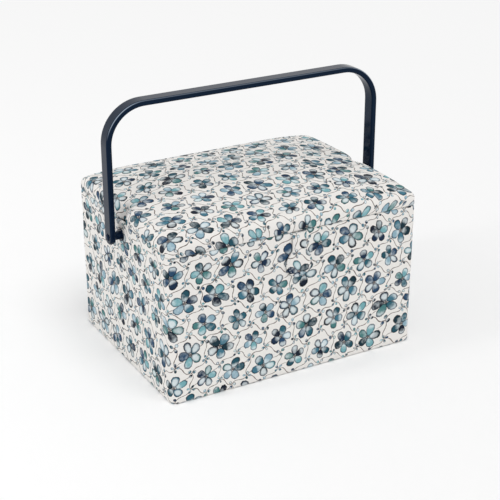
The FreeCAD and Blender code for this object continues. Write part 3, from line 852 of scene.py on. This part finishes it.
def makeLidPad():
    rows, edge = lidRows()
    across, along = lid["across"], lid["along"]
    count = len(edge)
    middle = across // 4
    drops = [0.0]
    for above, below in zip(rows[::-1], rows[-2::-1]):
        drops.insert(0, drops[0] + (above[middle] - below[middle]).length)
    outer = lidRing(0.0, cornerRadius)
    points, cut = [], []
    for line, drop in zip(rows, drops):
        for point, e, o in zip(line, edge, outer):
            away = (o - e).normalized()
            points.append(point)
            cut.append((e.x + away.x * drop + lid["cut"][0], e.y + away.y * drop + lid["cut"][1]))
    bands = gridFaces(len(rows), count, closed=True)
    faces = [[r * count + c % count for r, c in spots] for spots in bands]

    # top: the last ring filled with a grid between its four sides, counted from the back left corner
    last = len(points) - count
    left = [last + n for n in range(across + 1)]
    front = [last + across + n for n in range(along + 1)]
    right = [last + across + along + n for n in range(across + 1)][::-1]
    back = [last + (2 * across + along + n) % count for n in range(along + 1)][::-1]
    table = {}
    for i in range(along + 1):
        table[i, 0], table[i, across] = back[i], front[i]
    for j in range(across + 1):
        table[0, j], table[along, j] = left[j], right[j]
    for i in range(1, along):
        for j in range(1, across):
            a, b = i / along, j / across
            spot = (1 - b) * points[back[i]] + b * points[front[i]]
            spot += (1 - a) * points[left[j]] + a * points[right[j]]
            spot -= (1 - a) * ((1 - b) * points[left[0]] + b * points[left[-1]])
            spot -= a * ((1 - b) * points[right[0]] + b * points[right[-1]])
            spot.z = crownLevel(spot.x, spot.y)
            table[i, j] = len(points)
            points.append(spot)
            cut.append((spot.x + lid["cut"][0], spot.y + lid["cut"][1]))
    faces += [[table[s] for s in spots] for spots in gridFaces(along + 1, across + 1)]
    faces.append(list(range(count)))
    piece = outward(newPiece("lidPad", points, faces, [[cut[i] for i in face] for face in faces]))
    group = piece.vertex_groups.new(name="top")
    group.add([n for n, p in enumerate(points) if p.z > lidShoulder + lid["evenFrom"]], 1.0, "REPLACE")
    even = piece.modifiers.new("even", "SMOOTH")
    even.vertex_group = "top"
    even.factor = 0.5
    even.iterations = lid["evenings"]
    settle(piece)
    normals = [v.normal.copy() for v in piece.data.vertices]
    for vertex, normal in zip(piece.data.vertices, normals):
        vertex.co += normal * lidRelief(vertex.co)
    return dress(piece, printedCotton, "lid", "printed_cloth", "lid_cover", "lid_padding")


makeLidPad()
print("lid padded")


# Tab: a keyhole of printed cloth, turned out over its interlining and stitched round

tabLow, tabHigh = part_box("tab_front_cloth")
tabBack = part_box("tab_back_cloth")[1].y

tab = {
    "discRadius": 16 * mm,
    "neckHalf": 8.5 * mm,
    "flare": 5 * mm,
    "rows": 56,
    "columns": 28,
    "edge": 1.5 * mm,
    "magnetRadius": 7.2 * mm,
    "magnetRise": 0.25 * mm,
    "magnetFade": 1.5 * mm,
    "groove": 0.28 * mm,      # the cloth drawn down by the stitches
    "grooveReach": 0.9 * mm,
    "flareFade": 4 * mm,
    "tip": 0.05 * mm,
    "cutFront": (2.11, 0.03), # where the pieces lie on the flat cloth
    "cutBack": (2.31, 0.03),
    "stitchInset": 2.4 * mm,
    "stitchLength": 2.3 * mm,
    "stitchGap": 0.9 * mm,
    "threadRadius": 0.27 * mm,
}


def tabHalfWidth(z):
    drop = z - (tabLow.z + tab["discRadius"])
    disc = math.sqrt(max(0.0, tab["discRadius"] ** 2 - drop ** 2))
    if drop < 0:
        return disc
    gap = abs(disc - tab["neckHalf"])
    soften = max(tab["flare"] - gap, 0.0) ** 2 / (4 * tab["flare"])
    return max(disc, tab["neckHalf"]) + soften * ease(drop / tab["flareFade"])


def tabRim(x, z):  # about how far a point is inside the edge
    drop = z - (tabLow.z + tab["discRadius"])
    if drop < 0:
        return tab["discRadius"] - math.hypot(x, drop)
    return (tabHalfWidth(z) - abs(x)) * 0.94


def tabFace(x, z):  # the front surface
    middle = (tabLow.y + tabBack) / 2
    half = (tabBack - tabLow.y) / 2
    rise = half * math.sqrt(max(0.0, 1 - (1 - min(max(tabRim(x, z), 0.0) / tab["edge"], 1.0)) ** 2))
    drop = z - (tabLow.z + tab["discRadius"])
    bump = tab["magnetRise"] * (1 - ease((math.hypot(x, drop) - tab["magnetRadius"]) / tab["magnetFade"]))
    groove = tab["groove"] * (1 - ease(abs(tabRim(x, z) - tab["stitchInset"]) / tab["grooveReach"]))
    return middle, rise, bump - groove


def makeTab():
    grid, cut = [], []
    for r in range(tab["rows"] + 1):
        t = r / tab["rows"]
        z = tabHigh.z - (tabHigh.z - tabLow.z) * math.sin(math.radians(90 * t))
        half = max(tabHalfWidth(z), tab["tip"])
        front, behind, flatFront, flatBack = [], [], [], []
        for c in range(tab["columns"] + 1):
            s = math.sin(math.radians(90 * (2 * c / tab["columns"] - 1)))
            x = half * s
            middle, rise, relief = tabFace(x, z)
            front.append(Vector((x, middle - rise - relief * min(1.0, rise / (1.2 * mm)), z)))
            behind.append(Vector((x, middle + rise, z)))
            flatFront.append((tab["cutFront"][0] + x, tab["cutFront"][1] + z))
            flatBack.append((tab["cutBack"][0] - x, tab["cutBack"][1] + z))
        grid.append(front + behind[-2:0:-1])
        cut.append(flatFront + flatBack[-2:0:-1] + flatFront[:1])
    piece = gridPiece("closingTab", grid, cut, closed=True)
    mesh = bmesh.new()
    mesh.from_mesh(piece.data)
    bmesh.ops.remove_doubles(mesh, verts=mesh.verts, dist=0.02 * mm)
    bmesh.ops.holes_fill(mesh, edges=[e for e in mesh.edges if e.is_boundary], sides=0)
    mesh.to_mesh(piece.data)
    mesh.free()
    outward(piece)
    piece.data.shade_smooth()
    return dress(piece, printedCotton, "tab", "printed_cloth", "tab_front_cloth", "tab_back_cloth",
                 "tab_interlining")


def tabSeam():  # the stitching line, from the neck down round the disc and up again
    inset = tab["stitchInset"]
    side = []
    z = tabHigh.z - 1.5 * mm
    centre = tabLow.z + tab["discRadius"]
    while z > centre:
        side.append((tabHalfWidth(z) - inset, z))
        z -= 0.25 * mm
    radius = tab["discRadius"] - inset
    for n in range(90):
        angle = math.radians(n)
        side.append((radius * math.cos(angle), centre - radius * math.sin(angle)))
    return [(-x, z) for x, z in side] + [(0.0, centre - radius)] + side[::-1]


def makeStitches(name, line, surface, material, body, slot):
    # short threads laid along a line of (x, z) points on a front surface
    radius, sides = tab["threadRadius"], 6
    points, faces, corners = [], [], []
    lengths = [0.0]
    for before, after in zip(line, line[1:]):
        lengths.append(lengths[-1] + math.dist(before, after))

    def at(run):
        for n in range(1, len(lengths)):
            if lengths[n] >= run:
                t = (run - lengths[n - 1]) / max(lengths[n] - lengths[n - 1], 1e-9)
                a, b = line[n - 1], line[n]
                return a[0] + (b[0] - a[0]) * t, a[1] + (b[1] - a[1]) * t
        return line[-1]

    pitch = tab["stitchLength"] + tab["stitchGap"]
    for k in range(int(lengths[-1] / pitch)):
        first = len(points)
        for m in range(5):
            t = m / 4
            x, z = at(k * pitch + t * tab["stitchLength"])
            x2, z2 = at(k * pitch + t * tab["stitchLength"] + 0.2 * mm)
            walk = Vector((x2 - x, 0, z2 - z)).normalized()
            side = Vector((walk.z, 0, -walk.x))
            arch = math.sin(math.pi * t)
            body3 = Vector((x, surface(x, z) + radius * 0.6 - arch * radius * 1.3, z))
            fat = radius * (0.45 + 0.55 * arch)
            for n in range(sides):
                angle = math.tau * n / sides
                points.append(body3 + side * fat * math.cos(angle) + Vector((0, fat * math.sin(angle), 0)))
        for m in range(4):
            for n in range(sides):
                a, b = first + m * sides + n, first + m * sides + (n + 1) % sides
                faces.append([a, b, b + sides, a + sides])
                corners.append([(0.0, 0.0), (mm, 0.0), (mm, mm), (0.0, mm)])
        faces += [[first + n for n in range(sides)], [first + 4 * sides + n for n in range(sides)][::-1]]
        corners += [[(0.0, 0.0)] * sides] * 2
    piece = outward(newPiece(name, points, faces, corners))
    return dress(piece, material, body, slot)


def tabFront(x, z):
    middle, rise, relief = tabFace(x, z)
    return middle - rise - relief


makeTab()
makeStitches("tabStitches", tabSeam(), tabFront, threadCotton, "tab", "printed_cloth")
print("tab made")


# Inside the lid: a gathered pocket on an elastic mouth, and a pincushion

pocketLow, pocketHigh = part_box("lid_pocket")
elasticLow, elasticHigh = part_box("pocket_elastic")

pocket = {
    "columns": 220,
    "rows": 40,
    "depth": 5.0 * mm,
    "folds": 16,
    "fold": 1.7 * mm,
    "cloth": 0.5 * mm,
    "standoff": 0.3 * mm,
    "fullness": 1.3,          # flat width of the cut over the gathered width
    "cut": 3.0,
    "band": 0.55 * mm,        # the elastic's half thickness, its lift and its ruching
    "bandLift": 0.7 * mm,
    "ruche": 0.25 * mm,
    "bandSides": 16,
}


def pocketDrop(a, b):  # how far the pocket stands off the lining: a across, b from the mouth to the foot
    sideways = math.sin(math.pi * min(max(a, 0.0), 1.0)) ** 0.45
    down = (0.82 + 0.35 * math.sin(math.pi * min(1.25 * b, 1.0))) * (1 - b ** 3)
    wander = 1.2 * noise.noise(Vector((5 * a, 3 * b, 0.3)))
    puffs = abs(math.sin(math.pi * pocket["folds"] * a + wander)) ** 0.7
    small = abs(math.sin(math.pi * (2.3 * pocket["folds"] * a + 0.6 * b) + 2 * wander))
    strength = (0.22 + 0.78 * (1 - b) ** 1.8) * ease(a / 0.05) * ease((1 - a) / 0.05)
    gathers = pocket["fold"] * (puffs + 0.3 * small) * strength * ease((1 - b) / 0.08)
    return pocket["depth"] * sideways * down + gathers


def makePocket():
    grid, cut = [], []
    width, depth = pocketHigh.x - pocketLow.x, pocketHigh.y - pocketLow.y
    for r in range(pocket["rows"] + 1):
        b = r / pocket["rows"]
        line, flat = [], []
        for c in range(pocket["columns"] + 1):
            a = c / pocket["columns"]
            drop = pocketDrop(a, b) + pocket["standoff"]
            line.append(Vector((pocketLow.x + a * width, pocketLow.y + b * depth, pocketHigh.z - drop)))
            flat.append((a * width * pocket["fullness"] + pocket["cut"], b * depth))
        grid.append(line)
        cut.append(flat)
    piece = outward(gridPiece("lidPocket", grid, cut))
    thicken(piece, pocket["cloth"], 0.0)
    return dress(piece, liningCotton, "lid", "lining_cloth", "lid_pocket")


def makeElastic():
    grid, cut = [], []
    width = elasticHigh.x - elasticLow.x
    deep = elasticHigh.y - elasticLow.y
    total = pocketHigh.y - pocketLow.y
    turns = [math.tau * n / pocket["bandSides"] for n in range(pocket["bandSides"])]
    ring = [(math.cos(turn), math.sin(turn)) for turn in turns]
    for c in range(pocket["columns"] + 1):
        a = c / pocket["columns"]
        ruche = pocket["ruche"] * math.sin(math.tau * 2 * pocket["folds"] * a)
        line, flat = [], []
        for across, up in ring:
            squared = abs(across) ** 0.4 * math.copysign(1, across)
            y = elasticLow.y + 0.1 * mm + deep * 0.5 * (1 + squared * 0.96)
            b = (y - pocketLow.y) / total
            drop = pocketDrop(a, b) + pocket["standoff"] + pocket["bandLift"] + ruche
            drop -= pocket["band"] * abs(up) ** 0.6 * math.copysign(1, up)
            line.append(Vector((elasticLow.x + a * width, y, pocketHigh.z - drop)))
            flat.append((a * width, y))
        grid.append(line)
        cut.append(flat + flat[:1])
    piece = gridPiece("pocketBand", grid, cut, closed=True)
    mesh = bmesh.new()
    mesh.from_mesh(piece.data)
    bmesh.ops.holes_fill(mesh, edges=[e for e in mesh.edges if e.is_boundary], sides=0)
    mesh.to_mesh(piece.data)
    mesh.free()
    return dress(outward(piece), ribbedElastic, "lid", "elastic", "pocket_elastic")


cushion = {
    "step": 3 * mm,
    "draw": 3 * mm,           # how far the sides pull in between the corners
    "startShare": 0.74,       # height before it is filled
    "pressure": 6.0,
    "frames": 18,
    "cap": 6 * mm,
    "dimple": 5 * mm,         # drawn down by a thread through the middle
    "dimpleRadius": 20 * mm,
    "puckers": 8,
    "pucker": 0.9 * mm,
    "inset": 1 * mm,
    "seam": 1.2 * mm,         # the seam's height off the lining
    "backGap": 0.1 * mm,
    "crownFrom": 2 * mm,
}


def makePincushion():
    low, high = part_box("pincushion")
    centre, half = (low + high) / 2, (high - low) / 2
    tall = high.z - low.z
    count = round(2 * half.x / cushion["step"]), round(2 * half.y / cushion["step"])
    points, front, behind = [], {}, {}
    for i in range(count[0] + 1):
        for j in range(count[1] + 1):
            a, b = 2 * i / count[0] - 1, 2 * j / count[1] - 1
            x = centre.x + a * (half.x - cushion["inset"] - cushion["draw"] * (1 - b * b))
            y = centre.y + b * (half.y - cushion["inset"] - cushion["draw"] * (1 - a * a))
            rise = cushion["startShare"] * tall * ((1 - a ** 4) * (1 - b ** 4)) ** 0.5
            front[i, j] = len(points)
            points.append(Vector((x, y, high.z - cushion["seam"] - rise)))
            inside = 0 < i < count[0] and 0 < j < count[1]
            behind[i, j] = len(points) if inside else front[i, j]
            if inside:
                points.append(Vector((x, y, high.z - cushion["backGap"])))
    faces, corners = [], []
    for spots in gridFaces(count[0] + 1, count[1] + 1):
        where = [(cushion["step"] * i, cushion["step"] * j) for i, j in spots]
        faces += [[front[s] for s in spots], [behind[s] for s in reversed(spots)]]
        corners += [where, where[::-1]]
    piece = outward(newPiece("pinCushion", points, faces, corners))
    held = sorted(set(behind.values()) - set(front.values()))
    fill(piece, held, high.z)
    for point in piece.data.vertices:
        x, y = point.co.x - centre.x, point.co.y - centre.y
        reach = math.hypot(x, y) / cushion["dimpleRadius"]
        if point.co.z < high.z - cushion["crownFrom"]:
            folds = math.cos(cushion["puckers"] * math.atan2(y, x))
            point.co.z += cushion["dimple"] * (1 - ease(reach)) ** 1.5
            point.co.z += cushion["pucker"] * folds * ease(3 * reach) * (1 - ease(reach / 1.4))
    piece.modifiers.new("smooth", "SUBSURF").levels = 1
    settle(piece)
    return dress(piece, cushionCotton, "lid", "cushion_cloth", "pincushion")


def fill(piece, held, ceiling):  # cloth simulation, with each point's travel capped
    scene = bpy.context.scene
    pins = piece.vertex_groups.new(name="held")
    pins.add(held, 1.0, "REPLACE")
    cloth = piece.modifiers.new("fill", "CLOTH")
    cloth.settings.vertex_group_mass = "held"
    cloth.settings.quality = 6
    cloth.settings.use_pressure = True
    cloth.settings.uniform_pressure_force = cushion["pressure"]
    cloth.settings.effector_weights.gravity = 0
    cloth.point_cache.frame_start = 1
    cloth.point_cache.frame_end = cushion["frames"]
    start = [v.co.copy() for v in piece.data.vertices]
    for number in range(1, cushion["frames"] + 1):
        scene.frame_set(number)
    graph = bpy.context.evaluated_depsgraph_get()
    filled = [v.co.copy() for v in piece.evaluated_get(graph).data.vertices]
    piece.modifiers.clear()
    for vertex, before, after in zip(piece.data.vertices, start, filled):
        move = after - before
        vertex.co = before + move * min(1.0, cushion["cap"] / max(move.length, 1e-9))
        vertex.co.z = min(vertex.co.z, ceiling - 0.05 * mm)
    scene.frame_set(1)


makePocket()
makeElastic()
makePincushion()
print("pocket and pincushion made")


# Rigid pieces keep their CAD shape and get their finish

finishes = {
    "handleMoulding": ("handle",),
    "navyMoulding": ("left_pivot_boss", "right_pivot_boss", "left_pivot_stud", "right_pivot_stud",
                     "left_stud_washer", "right_stud_washer"),
    "trayMoulding": ("tray",),
    "pressedBoard": ("base_board", "front_board", "back_board", "left_board", "right_board", "lid_board"),
    "platedSteel": ("box_magnet", "tab_magnet"),
}
for finish, names in finishes.items():
    for name in names:
        nodes[name].data.materials.clear()
        nodes[name].data.materials.append(bpy.data.materials[finish])
print("CAD pieces finished")


# Stage: pale floor, soft light from the upper left, and the photograph's camera

studio = {
    "floorSize": 40.0,
    "floorDrop": 0.2 * mm,
    "floorColour": "ffffff",
    "world": 0.62,
    "sun": 1.0,
    "sunAngle": 40,
    "sunFrom": (0.02, -0.41, 0.91),
    "softbox": 4.4,
    "softboxSize": (0.22, 1.0),
    "softboxAt": (-1.55, 0.12, 1.05),
}


def makeStage():
    half, level = studio["floorSize"] / 2, -studio["floorDrop"]
    mesh = bpy.data.meshes.new("floor")
    corners = [(x * half, y * half, level) for x, y in ((-1, -1), (1, -1), (1, 1), (-1, 1))]
    mesh.from_pydata(corners, [], [(0, 1, 2, 3)])
    floor = bpy.data.objects.new("floor", mesh)
    bpy.context.scene.collection.objects.link(floor)
    material, tree, shader = newMaterial("paleFloor", 0.9)
    shader.inputs["Base Color"].default_value = shade(studio["floorColour"])
    shader.inputs["Specular IOR Level"].default_value = 0.0
    floor.data.materials.append(material)
    world = bpy.data.worlds.new("studio")
    bpy.context.scene.world = world
    world.use_nodes = True
    tree = world.node_tree
    back = tree.nodes["Background"]
    path = put(tree, "LightPath").outputs
    seen = calc(tree, "MAXIMUM", path["Is Camera Ray"], path["Is Glossy Ray"])
    seen = calc(tree, "MAXIMUM", seen, path["Is Transmission Ray"])
    back.inputs["Color"].default_value = (1, 1, 1, 1)
    feed(tree, back.inputs["Strength"], fade(tree, seen, 0.0, 1.0, studio["world"], 1.0))
    lamp = bpy.data.lights.new("window", "SUN")
    lamp.energy = studio["sun"]
    lamp.angle = math.radians(studio["sunAngle"])
    sun = bpy.data.objects.new("window", lamp)
    bpy.context.scene.collection.objects.link(sun)
    sun.rotation_euler = Vector(studio["sunFrom"]).to_track_quat("Z", "Y").to_euler()
    lamp = bpy.data.lights.new("softbox", "AREA")
    lamp.energy = studio["softbox"]
    lamp.shape = "RECTANGLE"
    lamp.size, lamp.size_y = studio["softboxSize"]
    box = bpy.data.objects.new("softbox", lamp)
    bpy.context.scene.collection.objects.link(box)
    box.location = studio["softboxAt"]
    box.rotation_euler = Vector(studio["softboxAt"]).to_track_quat("Z", "Y").to_euler()


camera = {
    "azimuth": -29.33,
    "elevation": 23.97,
    "distance": 1534 * mm,
    "target": (9.8 * mm, 0.0, 101.9 * mm),
    "lens": 94.9,
    "shift": (-0.0057, -0.0018),
}


def makeCamera():
    a, e = math.radians(camera["azimuth"]), math.radians(camera["elevation"])
    back = Vector((math.sin(a) * math.cos(e), -math.cos(a) * math.cos(e), math.sin(e)))
    eye = bpy.data.cameras.new("eye")
    eye.lens = camera["lens"]
    eye.shift_x, eye.shift_y = camera["shift"]
    eye.clip_end = 50
    stand = bpy.data.objects.new("eye", eye)
    stand.location = Vector(camera["target"]) + back * camera["distance"]
    stand.rotation_euler = back.to_track_quat("Z", "Y").to_euler()
    bpy.context.scene.collection.objects.link(stand)
    bpy.context.scene.camera = stand


makeStage()
makeCamera()
bpy.context.scene.view_settings.view_transform = "Standard"
print("stage set")
